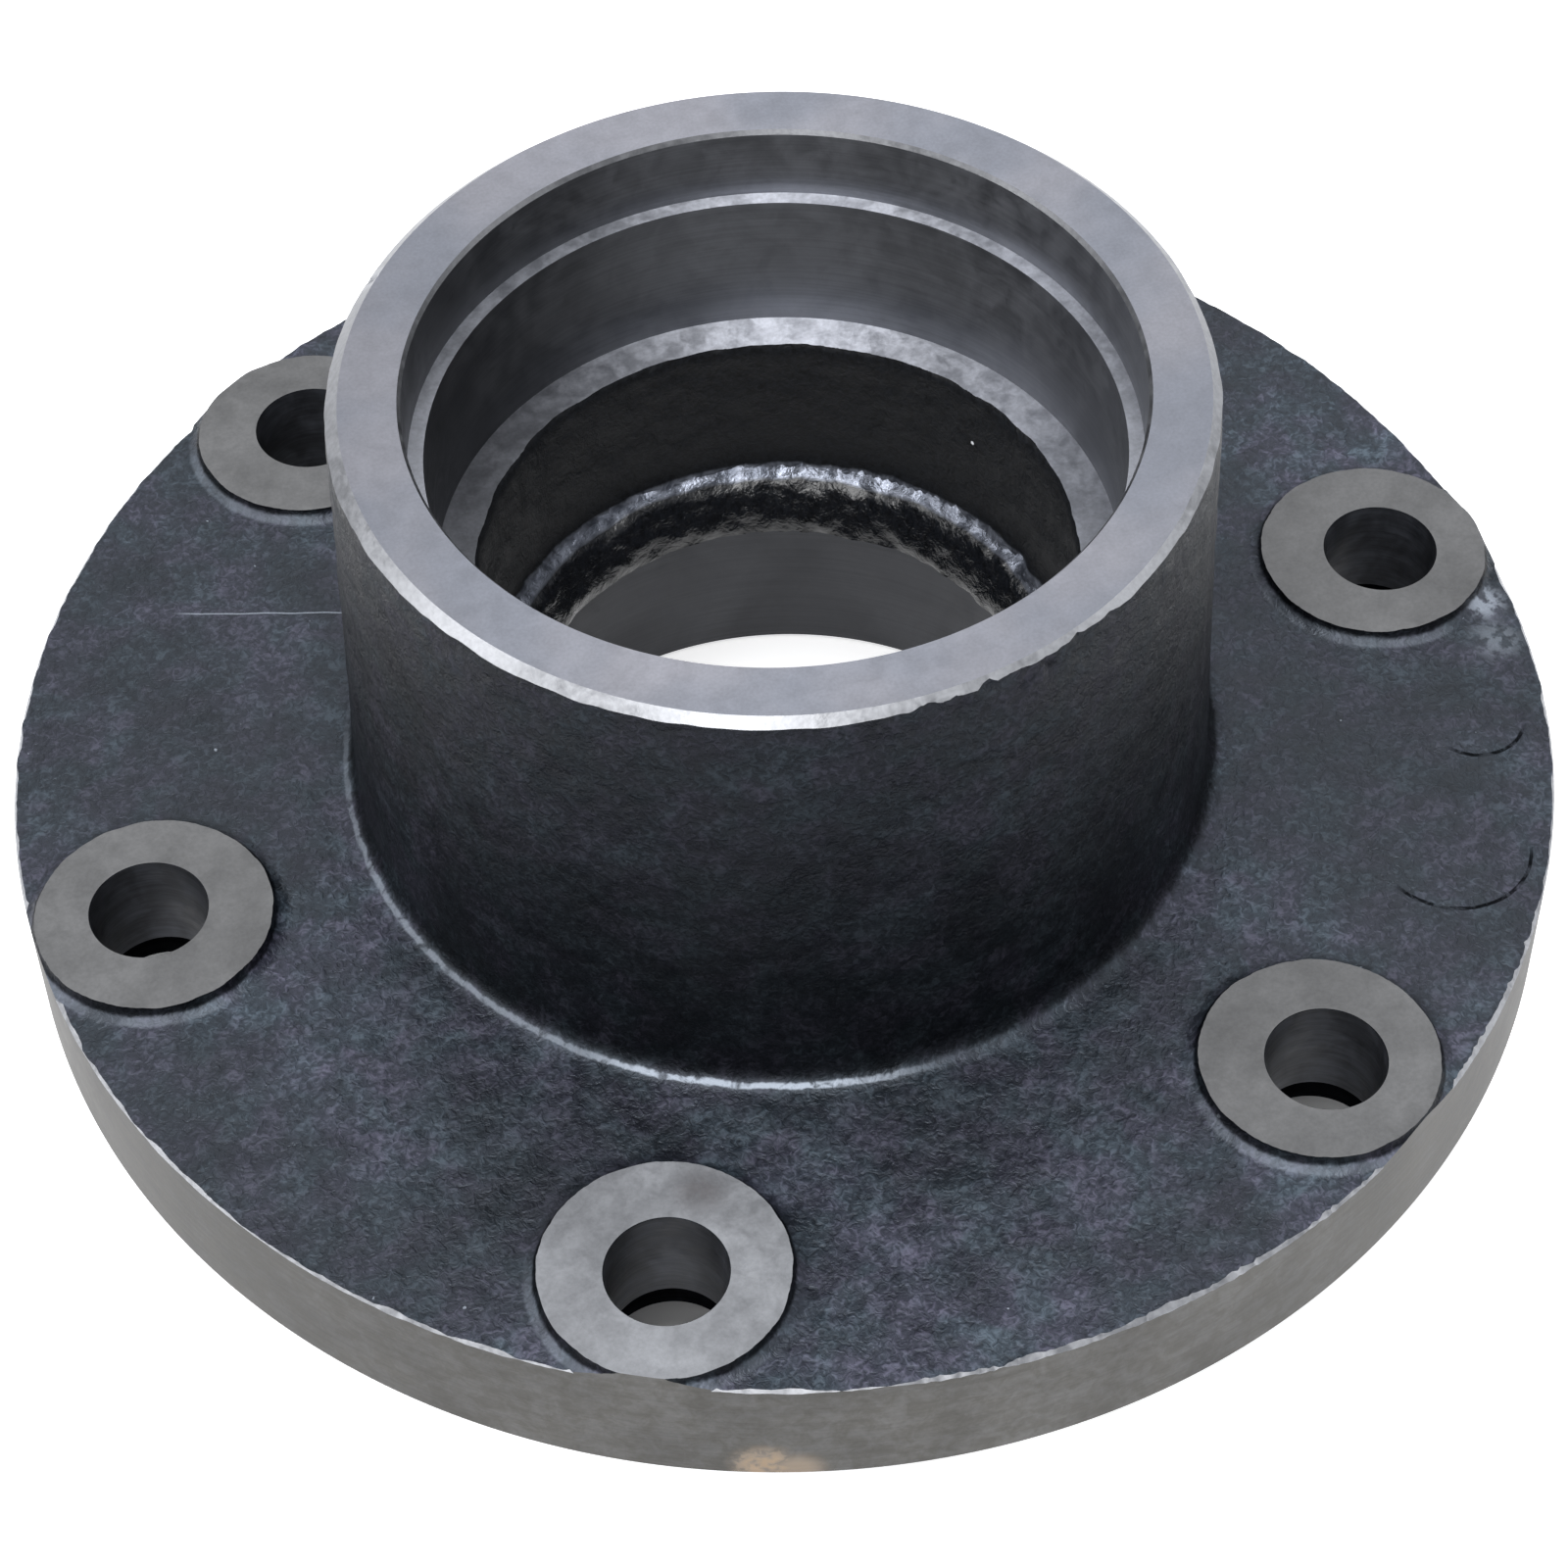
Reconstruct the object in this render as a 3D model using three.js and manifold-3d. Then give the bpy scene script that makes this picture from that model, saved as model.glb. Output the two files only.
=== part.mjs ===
// Flanged bearing hub, one machined iron casting.
// Units are millimetres. +Z is the hub axis and points from the outboard spigot
// to the open end of the neck. The origin is the centre of the spigot's end face.
// The casting is a round flange with six raised, spot-faced bolt pads, a tall
// drafted neck on one side and a short spigot on the other. A stepped bore runs
// right through: seal bore, inner bearing seat, cast cavity, cast land, outer
// bearing seat, cap bore.
import * as THREE from 'three';
import { mergeVertices } from 'three/addons/utils/BufferGeometryUtils.js';
import Module from 'manifold-3d';

// ---- driving dimensions -------------------------------------------------
const HEIGHT = 113.0;          // spigot end face to neck end face

const SPIGOT_R = 62.5;         // short boss behind the flange
const SPIGOT_CHAMFER = 1.5;
const FLANGE_BACK_Z = 14.0;    // machined mounting face, looks down
const FLANGE_FRONT_Z = 36.0;   // cast face, looks up
const FLANGE_R = 120.0;
const FLANGE_EDGE = 0.3;       // broken edges on the turned rim

const NECK_TOP_R = 64.0;       // outside of the neck, below its end chamfer
const NECK_BASE_R = 66.5;      // the cast neck is drafted
const NECK_CHAMFER = 1.6;
const NECK_FILLET = 3.3;       // cast fillet between neck and flange

const PADS = 6;
const BOLT_CIRCLE_R = 102.7;   // drilled holes
const PAD_CIRCLE_R = 102.0;    // cast pads, which stop just inside the turned rim
const PAD_R = 17.9;
const PAD_Z = 38.0;            // spot-faced, 2 mm above the cast face
const HOLE_R = 9.0;
const RELIEF_R = 10.0;         // counterbore on the back of each bolt hole
const RELIEF_DEPTH = 5.5;

const SEAL_BORE_R = 53.4;      // open end of the neck
const SEAL_SHOULDER_Z = 100.6;
const SEAL_LEAD_R = 53.9;      // lead-in chamfer
const SEAL_LEAD = 0.7;
const INNER_SEAT_R = 51.1;     // inner bearing seat
const INNER_SHOULDER_Z = 76.4;
const CAVITY_R = 44.6;         // cast, unmachined
const LAND_TOP_Z = 49.9;
const OUTER_SHOULDER_Z = 40.2;
const THROAT_R = 38.9;         // cast land between the two bearing seats
const OUTER_SEAT_R = 51.0;     // outer bearing seat
const OUTER_SEAT_Z = 11.3;
const CAP_BORE_R = 51.6;
const CAP_LEAD = 0.8;

const TURN_STEPS = 72;         // facets round the axis
const PAD_STEPS = 36;
const HOLE_STEPS = 24;

// ---- helpers ------------------------------------------------------------
const wasm = await Module();
wasm.setup();

function toManifold(geometry) {
  const g = geometry.clone();
  g.deleteAttribute('normal');
  g.deleteAttribute('uv');
  const m = mergeVertices(g, 1e-4);
  return new wasm.Manifold(new wasm.Mesh({
    numProp: 3,
    vertProperties: new Float32Array(m.attributes.position.array),
    triVerts: new Uint32Array(m.index.array),
  }));
}

function toGeometry(manifold) {
  const mesh = manifold.getMesh();
  const g = new THREE.BufferGeometry();
  const n = mesh.numProp;
  const count = mesh.vertProperties.length / n;
  const pos = new Float32Array(count * 3);
  for (let i = 0; i < count; i++) {
    for (let k = 0; k < 3; k++) pos[i * 3 + k] = mesh.vertProperties[i * n + k];
  }
  g.setAttribute('position', new THREE.BufferAttribute(pos, 3));
  g.setIndex(new THREE.BufferAttribute(new Uint32Array(mesh.triVerts), 1));
  g.computeVertexNormals();
  return g;
}

// A profile of [radius, height] points, closed on itself, turned about +Z.
function turned(profile, steps) {
  const points = profile.map(([r, z]) => new THREE.Vector2(r, z));
  points.push(points[0].clone());
  const g = new THREE.LatheGeometry(points, steps);
  g.rotateX(Math.PI / 2);      // the lathe axis Y becomes Z
  return g;
}

function upright(r, z0, z1, x, y, steps) {
  const g = new THREE.CylinderGeometry(r, r, z1 - z0, steps);
  g.rotateX(Math.PI / 2);
  g.translate(x, y, (z0 + z1) / 2);
  return g;
}

function fillet(cx, cz, r, from, to, steps) {
  const out = [];
  for (let i = 0; i <= steps; i++) {
    const a = from + (to - from) * i / steps;
    out.push([cx + r * Math.cos(a), cz + r * Math.sin(a)]);
  }
  return out;
}

// ---- the turned body ----------------------------------------------------
// Rounded top of the cast land, from the throat out to the cavity wall.
const land = [
  [THROAT_R, OUTER_SHOULDER_Z],
  [39.1, 42.6],
  [40.0, 45.4],
  [41.8, 48.0],
  [CAVITY_R, LAND_TOP_Z],
];

const neckFoot = fillet(
  NECK_BASE_R + NECK_FILLET, FLANGE_FRONT_Z + NECK_FILLET, NECK_FILLET,
  Math.PI, Math.PI * 1.5, 4);

const profile = [
  [CAP_BORE_R + CAP_LEAD, 0],
  [SPIGOT_R - SPIGOT_CHAMFER, 0],
  [SPIGOT_R, SPIGOT_CHAMFER],
  [SPIGOT_R, FLANGE_BACK_Z],
  [FLANGE_R - FLANGE_EDGE, FLANGE_BACK_Z],
  [FLANGE_R, FLANGE_BACK_Z + FLANGE_EDGE],
  [FLANGE_R, FLANGE_FRONT_Z - FLANGE_EDGE],
  [FLANGE_R - FLANGE_EDGE, FLANGE_FRONT_Z],
  ...neckFoot.reverse(),
  [NECK_TOP_R, HEIGHT - NECK_CHAMFER],
  [NECK_TOP_R - NECK_CHAMFER, HEIGHT],
  [SEAL_LEAD_R, HEIGHT],
  [SEAL_BORE_R, HEIGHT - SEAL_LEAD],
  [SEAL_BORE_R, SEAL_SHOULDER_Z],
  [INNER_SEAT_R, SEAL_SHOULDER_Z],
  [INNER_SEAT_R, INNER_SHOULDER_Z],
  [CAVITY_R, INNER_SHOULDER_Z],
  ...land.reverse(),
  [OUTER_SEAT_R, OUTER_SHOULDER_Z],
  [OUTER_SEAT_R, OUTER_SEAT_Z],
  [CAP_BORE_R, OUTER_SEAT_Z],
  [CAP_BORE_R, CAP_LEAD],
];

let hub = toManifold(turned(profile, TURN_STEPS));
if (hub.volume() < 0) throw new Error('the turned body is inside out');

// ---- six bolt pads, held inside the turned rim ---------------------------
const rim = toManifold(upright(FLANGE_R, FLANGE_BACK_Z + 4, PAD_Z + 4, 0, 0, TURN_STEPS));
for (let i = 0; i < PADS; i++) {
  const a = i * 2 * Math.PI / PADS;
  const x = PAD_CIRCLE_R * Math.cos(a);
  const y = PAD_CIRCLE_R * Math.sin(a);
  const pad = toManifold(upright(PAD_R, FLANGE_FRONT_Z - 6, PAD_Z, x, y, PAD_STEPS));
  hub = hub.add(pad.intersect(rim));
}
for (let i = 0; i < PADS; i++) {
  const a = i * 2 * Math.PI / PADS;
  const x = BOLT_CIRCLE_R * Math.cos(a);
  const y = BOLT_CIRCLE_R * Math.sin(a);
  hub = hub.subtract(toManifold(
    upright(HOLE_R, FLANGE_BACK_Z - 3, PAD_Z + 3, x, y, HOLE_STEPS)));
  hub = hub.subtract(toManifold(
    upright(RELIEF_R, FLANGE_BACK_Z - 3, FLANGE_BACK_Z + RELIEF_DEPTH, x, y, HOLE_STEPS)));
}

// ---- scene graph --------------------------------------------------------
const castIron = new THREE.MeshStandardMaterial({
  color: 0x3f434b, roughness: 0.62, metalness: 0.75,
});

const hubCasting = new THREE.Mesh(toGeometry(hub), castIron);
hubCasting.name = 'hub_casting';

const part = new THREE.Group();
part.name = 'flanged_bearing_hub';
part.add(hubCasting);

export default part;
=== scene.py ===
# Looks of the flanged bearing hub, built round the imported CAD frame.
# The casting is made the way the real one is: a rough cast blank first, then
# clean cutters take off what a lathe, a spot-facer and a drill would take off.
import math

import bpy
import bmesh
import numpy as np
from mathutils import Matrix, Vector


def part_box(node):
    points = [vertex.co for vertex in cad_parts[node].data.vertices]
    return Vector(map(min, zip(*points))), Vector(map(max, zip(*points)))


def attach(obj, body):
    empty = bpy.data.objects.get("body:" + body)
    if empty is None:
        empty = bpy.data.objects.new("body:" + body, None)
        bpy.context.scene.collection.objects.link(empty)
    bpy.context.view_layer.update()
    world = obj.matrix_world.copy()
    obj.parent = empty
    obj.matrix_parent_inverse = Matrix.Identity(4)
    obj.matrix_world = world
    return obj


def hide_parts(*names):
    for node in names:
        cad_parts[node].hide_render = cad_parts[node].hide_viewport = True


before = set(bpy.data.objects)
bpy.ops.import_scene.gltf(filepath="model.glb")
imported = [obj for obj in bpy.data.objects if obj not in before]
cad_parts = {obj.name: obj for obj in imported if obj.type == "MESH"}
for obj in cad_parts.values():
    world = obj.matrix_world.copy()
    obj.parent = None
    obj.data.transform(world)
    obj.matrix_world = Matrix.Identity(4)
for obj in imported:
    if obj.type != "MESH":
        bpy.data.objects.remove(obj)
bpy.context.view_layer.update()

LO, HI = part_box("hub_casting")
MM = 0.001

# ---- sizes, in millimetres, as the CAD part has them ----------------------
HEIGHT = (HI.z - LO.z) / MM
FLANGE_R = (HI.x - LO.x) / 2 / MM
SPIGOT_R = 62.5
BACK_Z, FRONT_Z = 14.0, 36.0
NECK_TOP_R, NECK_BASE_R, NECK_FILLET, NECK_CHAMFER = 64.0, 66.5, 3.3, 1.6
BOLT_R, PAD_R, PAD_Z, HOLE_R = 102.7, 17.9, 38.0, 9.0
RELIEF_R, RELIEF_Z = 10.0, 19.5
SEAL_R, SEAL_Z, SEAL_LEAD_R, SEAL_LEAD = 53.4, 100.6, 53.9, 0.7
SEAT_R, SEAT_Z = 51.1, 76.4
CAVITY_R = 44.6
LAND_Z, THROAT_Z, THROAT_R = 49.9, 40.2, 38.9
LOW_R, LOW_Z, CAP_R = 51.0, 11.3, 51.6
VIEW_TURN = 19.5  # degrees from the part's own axes to the camera's


def own(dx, dy):
    """A shift given across and away from the camera, in the part's own axes."""
    a = math.radians(-VIEW_TURN)
    return dx * math.cos(a) - dy * math.sin(a), dx * math.sin(a) + dy * math.cos(a)


# Cast pads never sit quite where the drill does: (dx, dy, radius) of each pad
# and (dx, dy) of each hole, all in mm, against the nominal bolt circle.
PAD_SHIFT = [(-0.70, -0.22, 17.75), (-0.5, -0.5, 17.9), (0.07, -0.44, 17.7),
             (1.10, -0.32, 17.9), (0.20, 0.60, 18.05), (-0.64, 0.20, 17.7)]
HOLE_SHIFT = [(0.45, -0.20), (0.3, 0.1), (0.60, 0.45), (0.24, 0.30), (0.50, 0.10), (0.28, -0.15)]
PADS, HOLES_XY = [], []
for k in range(6):
    a = math.radians(60 * k)
    x, y = BOLT_R * math.cos(a), BOLT_R * math.sin(a)
    ox, oy = own(*PAD_SHIFT[k][:2])
    PADS.append((x + ox, y + oy, PAD_SHIFT[k][2]))
    ox, oy = own(*HOLE_SHIFT[k])
    HOLES_XY.append((x + ox, y + oy))
NECK_SHIFT = own(-0.30, 0.35)
# Two blank foundry marks stand a hair proud of the flange: (x, y, radius), mm.
MARKS = [(*own(101.9, -26.4), 12.0), (*own(108.4, -0.7), 7.7)]

VOXEL = 1.03
STEPS = 384


# ---- small helpers ----------------------------------------------------------
def link(mesh, name):
    o = bpy.data.objects.new(name, mesh)
    bpy.context.scene.collection.objects.link(o)
    return o


def mesh_from(name, verts, faces):
    me = bpy.data.meshes.new(name)
    me.from_pydata([tuple(v) for v in verts], [], faces)
    me.validate()
    bm = bmesh.new()
    bm.from_mesh(me)
    bmesh.ops.remove_doubles(bm, verts=bm.verts, dist=1e-7)
    bmesh.ops.recalc_face_normals(bm, faces=bm.faces)
    bm.to_mesh(me)
    bm.free()
    return link(me, name)


def lathe(name, profile, steps, centre=(0.0, 0.0)):
    """A closed profile of (radius, height) in mm, or a function of the angle
    that gives one, turned about a vertical axis."""
    verts, faces = [], []
    turning = profile if callable(profile) else None
    if turning:
        profile = turning(0.0)
    n = len(profile)
    for i in range(steps):
        a = 2 * math.pi * i / steps
        c, s = math.cos(a), math.sin(a)
        for r, z in (turning(a) if turning else profile):
            verts.append(((centre[0] + r * c) * MM, (centre[1] + r * s) * MM, z * MM))
    for i in range(steps):
        j = (i + 1) % steps
        for k in range(n):
            m = (k + 1) % n
            if profile[k][0] < 1e-9 and profile[m][0] < 1e-9:
                continue
            faces.append((i * n + k, j * n + k, j * n + m, i * n + m))
    return mesh_from(name, verts, faces)


def apply_modifiers(o):
    dg = bpy.context.evaluated_depsgraph_get()
    me = bpy.data.meshes.new_from_object(o.evaluated_get(dg))
    old = o.data
    o.modifiers.clear()
    o.data = me
    bpy.data.meshes.remove(old)


def coords(me):
    co = np.empty(len(me.vertices) * 3, np.float64)
    me.vertices.foreach_get("co", co)
    return co.reshape(-1, 3)


def normals(me):
    n = np.empty(len(me.vertices) * 3, np.float64)
    me.vertices.foreach_get("normal", n)
    return n.reshape(-1, 3)


# ---- seeded gradient noise ---------------------------------------------------
_rng = np.random.default_rng(20417)
_PERM = _rng.permutation(4096)
_PERM = np.concatenate([_PERM, _PERM, _PERM])
_GRAD = _rng.normal(size=(4096, 3))
_GRAD /= np.linalg.norm(_GRAD, axis=1)[:, None]


def gnoise(p, scale, seed=0):
    """Gradient noise of points p (mm), one cell per `scale` mm, about -1 to 1."""
    q = p / scale + np.array([17.3, 5.1, 9.7]) * (seed + 1)
    i = np.floor(q).astype(np.int64)
    f = q - i
    u = f * f * f * (f * (f * 6 - 15) + 10)
    out = 0
    for dx in (0, 1):
        for dy in (0, 1):
            for dz in (0, 1):
                h = _PERM[(i[:, 0] + dx) & 4095]
                h = _PERM[h + ((i[:, 1] + dy) & 4095)]
                h = _PERM[(h + ((i[:, 2] + dz) & 4095)) & 8191] & 4095
                g = _GRAD[h]
                d = ((f - (dx, dy, dz)) * g).sum(1)
                w = (
                    (u[:, 0] if dx else 1 - u[:, 0])
                    * (u[:, 1] if dy else 1 - u[:, 1])
                    * (u[:, 2] if dz else 1 - u[:, 2])
                )
                out = out + w * d
    return out * 1.6


def smoothstep(a, b, x):
    t = np.clip((x - a) / (b - a), 0, 1)
    return t * t * (3 - 2 * t)


# ---- the rough cast blank ----------------------------------------------------
def arc(cr, cz, r, a0, a1, n):
    return [
        (
            cr + r * math.cos(math.radians(a0 + (a1 - a0) * k / n)),
            cz + r * math.sin(math.radians(a0 + (a1 - a0) * k / n)),
        )
        for k in range(n + 1)
    ]


# The cast land between the two bearing seats: a bright sloping ledge, then a throat.
land = [
    (CAVITY_R, LAND_Z + 2.0), (CAVITY_R - 0.15, LAND_Z + 0.3), (43.2, 49.2), (41.7, 48.1),
    (40.7, 46.4), (39.6, 43.9), (THROAT_R + 0.1, 41.6), (THROAT_R, 39.0), (THROAT_R + 0.2, 37.4),
]
blank_profile = (
    [(46.5, -2.0), (64.5, -2.0), (64.5, 12.0), (122.5, 12.0), (122.5, FRONT_Z)]
    + arc(NECK_BASE_R + NECK_FILLET, FRONT_Z + NECK_FILLET, NECK_FILLET, 270, 180, 6)
    + [(NECK_TOP_R - 0.12, 115.5), (47.5, 115.5), (47.5, 78.5), (CAVITY_R, 76.0)]
    + land
    + [(46.5, 34.0)]
)
blank = lathe("blank", blank_profile, 240)
parts = [blank]
for x, y, pr in PADS:
    parts.append(
        lathe(
            "pad_blank",
            [(0, 27.0), (pr + 2.6, 27.0), (pr + 2.6, FRONT_Z - 0.05), (pr + 1.5, FRONT_Z + 0.22),
             (pr + 0.7, FRONT_Z + 0.55), (pr + 0.15, FRONT_Z + 1.0), (pr, PAD_Z), (pr, 40.0), (0, 40.0)],
            96,
            (x, y),
        )
    )
bm = bmesh.new()
for o in parts:
    bm.from_mesh(o.data)
me = bpy.data.meshes.new("hub_casting_skin")
bm.to_mesh(me)
bm.free()
for o in parts:
    m = o.data
    bpy.data.objects.remove(o)
    bpy.data.meshes.remove(m)
hub = link(me, "hub_casting_skin")
mod = hub.modifiers.new("remesh", "REMESH")
mod.mode = "VOXEL"
mod.voxel_size = VOXEL * MM
mod.adaptivity = 0.0
mod = hub.modifiers.new("smooth", "SMOOTH")
mod.factor = 0.5
mod.iterations = 3
apply_modifiers(hub)
print("blank", len(hub.data.vertices), "verts")


def nearest_on(path, r, z):
    """The closest point of a (radius, height) path to each (r, z)."""
    best = np.full(len(r), 1e9)
    br, bz = r.copy(), z.copy()
    for (r0, z0), (r1, z1) in zip(path, path[1:]):
        dr, dz = r1 - r0, z1 - z0
        t = np.clip(((r - r0) * dr + (z - z0) * dz) / (dr * dr + dz * dz), 0, 1)
        qr, qz = r0 + t * dr, z0 + t * dz
        d = np.hypot(r - qr, z - qz)
        m = d < best
        best[m], br[m], bz[m] = d[m], qr[m], qz[m]
    return br, bz


def skin_relief(p):
    """Lumps and dents of the sand-cast skin, mm, for points in mm."""
    broad = 0.17 * gnoise(p, 34, 1) + 0.12 * gnoise(p, 14, 2)
    dents = 0.17 * gnoise(p, 6.0, 3) + 0.10 * gnoise(p, 2.6, 4)
    return broad + dents


p = coords(hub.data) / MM
r = np.hypot(p[:, 0], p[:, 1])
# Remeshing rounds the land off, so it is drawn back on to its own profile.
inner = (r < 46) & (p[:, 2] > 38.5) & (p[:, 2] < 52.5)
qr, qz = nearest_on(land, r[inner], p[inner, 2])
k = qr / r[inner]
p[inner, 0] *= k
p[inner, 1] *= k
p[inner, 2] = qz
# The core and the outside mould never line up exactly.
neck = (r > 56) & (r < 72) & (p[:, 2] > 36.6)
w = smoothstep(36.6, 44, p[:, 2]) * neck
p[:, 0] += NECK_SHIFT[0] * w
p[:, 1] += NECK_SHIFT[1] * w
hub.data.vertices.foreach_set("co", (p * MM).astype(np.float32).ravel())
hub.data.update()
n = normals(hub.data)
r = np.hypot(p[:, 0], p[:, 1])
view_angle = (np.degrees(np.arctan2(p[:, 1], p[:, 0])) + VIEW_TURN + 180) % 360 - 180

inside = (r < 47) & (p[:, 2] < 78) & (p[:, 2] > 36)
ledge = inside * smoothstep(47.0, 48.4, p[:, 2]) * (1 - smoothstep(50.6, 52.0, p[:, 2]))
throat = inside * (1 - smoothstep(47.2, 48.6, p[:, 2]))
d = skin_relief(p)
for mx, my, mr in MARKS:
    md = np.hypot(p[:, 0] - mx, p[:, 1] - my)
    d = d + 0.30 * (1 - smoothstep(mr - 0.7, mr + 0.3, md)) * (p[:, 2] > 34.5)
d = d + inside * (0.22 * gnoise(p, 6.0, 7) + 0.13 * gnoise(p, 2.4, 8))
d = d + throat * (0.30 * gnoise(p, 4.6, 5) + 0.36 * gnoise(p, 2.3, 6))
right_side = smoothstep(-10, 25, 90 - np.abs(view_angle - 45))
d = d + ledge * (0.5 * right_side * gnoise(p * (1, 1, 2.2), 3.4, 9) + 0.16 * gnoise(p, 2.1, 10))
# The neck's top corner was knocked about: a thin, chipped stretch near the front right.
chipped = (r > 60) * smoothstep(105, 110, p[:, 2]) * smoothstep(-78, -71, view_angle) * (1 - smoothstep(-50, -40, view_angle))
d = d - chipped * (0.16 + 1.1 * np.maximum(gnoise(p, 2.6, 11) - 0.05, 0) - 0.25 * gnoise(p, 1.9, 12))
p = p + n * d[:, None]
hub.data.vertices.foreach_set("co", (p * MM).astype(np.float32).ravel())
hub.data.update()


# ---- machining ----------------------------------------------------------------
def subtract(target, cutter):
    mod = target.modifiers.new("cut", "BOOLEAN")
    mod.operation = "DIFFERENCE"
    mod.object = cutter
    mod.solver = "MANIFOLD"
    before = len(target.data.polygons)
    apply_modifiers(target)
    print("cut", cutter.name, before, "->", len(target.data.polygons))
    m = cutter.data
    bpy.data.objects.remove(cutter)
    bpy.data.meshes.remove(m)


outside = [
    (FLANGE_R, 46.0), (FLANGE_R, BACK_Z + 0.3), (FLANGE_R - 0.3, BACK_Z),
    (SPIGOT_R + 1.2, BACK_Z), (SPIGOT_R + 0.35, BACK_Z - 0.35), (SPIGOT_R, BACK_Z - 1.2),
    (SPIGOT_R, 1.5), (SPIGOT_R - 1.5, 0.0), (40.0, 0.0), (40.0, -6.0), (130.0, -6.0), (130.0, 46.0),
]
low_bore = [
    (0.0, -6.0), (CAP_R + 6.8, -6.0), (CAP_R, 0.8), (CAP_R, LOW_Z),
    (LOW_R, LOW_Z), (LOW_R, THROAT_Z), (0.0, THROAT_Z),
]
lead_slope = (SEAL_LEAD_R - SEAL_R) / SEAL_LEAD
top_bore = [
    (0.0, SEAT_Z), (SEAT_R, SEAT_Z), (SEAT_R, SEAL_Z), (SEAL_R, SEAL_Z),
    (SEAL_R, HEIGHT - SEAL_LEAD), (SEAL_R + lead_slope * (SEAL_LEAD + 5.0), HEIGHT + 5.0), (0.0, HEIGHT + 5.0),
]
neck_end = [
    (30.0, HEIGHT), (NECK_TOP_R - NECK_CHAMFER, HEIGHT), (NECK_TOP_R, HEIGHT - NECK_CHAMFER),
    (NECK_TOP_R + 4.0, HEIGHT - NECK_CHAMFER - 4.0), (NECK_TOP_R + 14.0, HEIGHT - 6.0),
    (NECK_TOP_R + 14.0, HEIGHT + 8.0), (30.0, HEIGHT + 8.0),
]


def rim_edge(a):
    """The burr at the top of the turned rim was dressed by hand, so it comes and goes."""
    at = np.array([[200 * math.cos(a), 200 * math.sin(a), 0.0]])
    w = 0.36 + 0.14 * float(gnoise(at, 22, 3)[0]) + 0.28 * float(gnoise(at, 5.5, 4)[0]) + 0.16 * float(gnoise(at, 2.2, 5)[0])
    v = (math.degrees(a) + VIEW_TURN + 180) % 360 - 180
    if -82 < v < -22:
        w += 0.10 + 0.8 * max(float(gnoise(at, 1.9, 6)[0]), 0.0)
    w = min(max(w, -0.2), 0.75)
    e = 0.7
    return [(FLANGE_R + e, FRONT_Z - w - e), (FLANGE_R - w - e, FRONT_Z + e),
            (FLANGE_R - w - e, FRONT_Z + 1.6), (FLANGE_R + e + 1, FRONT_Z + 1.6)]


edge_cutter = lathe("rim_edge", rim_edge, 1080)
for x, y, pr in PADS:
    subtract(edge_cutter, lathe("pad_keep", [(0, 30), (pr + 2.0, 30), (pr + 2.0, 45), (0, 45)], 96, (x, y)))

subtract(hub, lathe("outside", outside, STEPS))
subtract(hub, lathe("low_bore", low_bore, STEPS))
subtract(hub, lathe("top_bore", top_bore, STEPS))
subtract(hub, lathe("neck_end", neck_end, STEPS))
subtract(hub, edge_cutter)
a = math.radians(157.4 - VIEW_TURN)
subtract(hub, lathe("nick", [(0, 110.8), (0.7, 111.1), (2.1, 113.6), (0, 113.6)], 24, (64.1 * math.cos(a), 64.1 * math.sin(a))))
for (x, y, pr), (hx, hy) in zip(PADS, HOLES_XY):
    subtract(hub, lathe("spot_face", [(0, PAD_Z), (21.0, PAD_Z), (21.0, 46.0), (0, 46.0)], 128, (x, y)))
    subtract(
        hub,
        lathe(
            "drill",
            [(0, 6.0), (RELIEF_R + 0.5, 6.0), (RELIEF_R + 0.5, BACK_Z - 0.1), (RELIEF_R, BACK_Z + 0.4),
             (RELIEF_R, RELIEF_Z), (HOLE_R, RELIEF_Z), (HOLE_R, PAD_Z - 0.1), (HOLE_R + 8.1, PAD_Z + 8.0), (0, PAD_Z + 8.0)],
            96,
            (hx, hy),
        ),
    )

# ---- which faces are cut and which are cast ------------------------------------
me = hub.data
nf = len(me.polygons)
fc = np.empty(nf * 3)
me.polygons.foreach_get("center", fc)
fc = fc.reshape(-1, 3) / MM
fn = np.empty(nf * 3)
me.polygons.foreach_get("normal", fn)
fn = fn.reshape(-1, 3)
fr = np.hypot(fc[:, 0], fc[:, 1])
radial = (fn[:, 0] * fc[:, 0] + fn[:, 1] * fc[:, 1]) / np.maximum(fr, 1e-9)
CAST, FACE, RIM, PAD, BORE, EDGE, HOLE, LEDGE, CORE = range(9)
kind = np.zeros(nf, int)
tol = 0.035


def on_segment(a, b, pr, pz, nr, nz, t=tol):
    d = np.array(b, float) - np.array(a, float)
    length = np.hypot(*d)
    d = d / length
    u = (pr - a[0]) * d[0] + (pz - a[1]) * d[1]
    v = (pr - a[0]) * d[1] - (pz - a[1]) * d[0]
    along = np.abs(nr * d[0] + nz * d[1])
    return (np.abs(v) < t) & (u > -0.3) & (u < length + 0.3) & (along < 0.05)


def mark(profile, k, names):
    for i, nm in enumerate(names):
        if nm is None:
            continue
        a, b = profile[i], profile[i + 1]
        hit = on_segment(a, b, fr, fc[:, 2], radial, fn[:, 2])
        kind[hit] = nm


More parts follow.
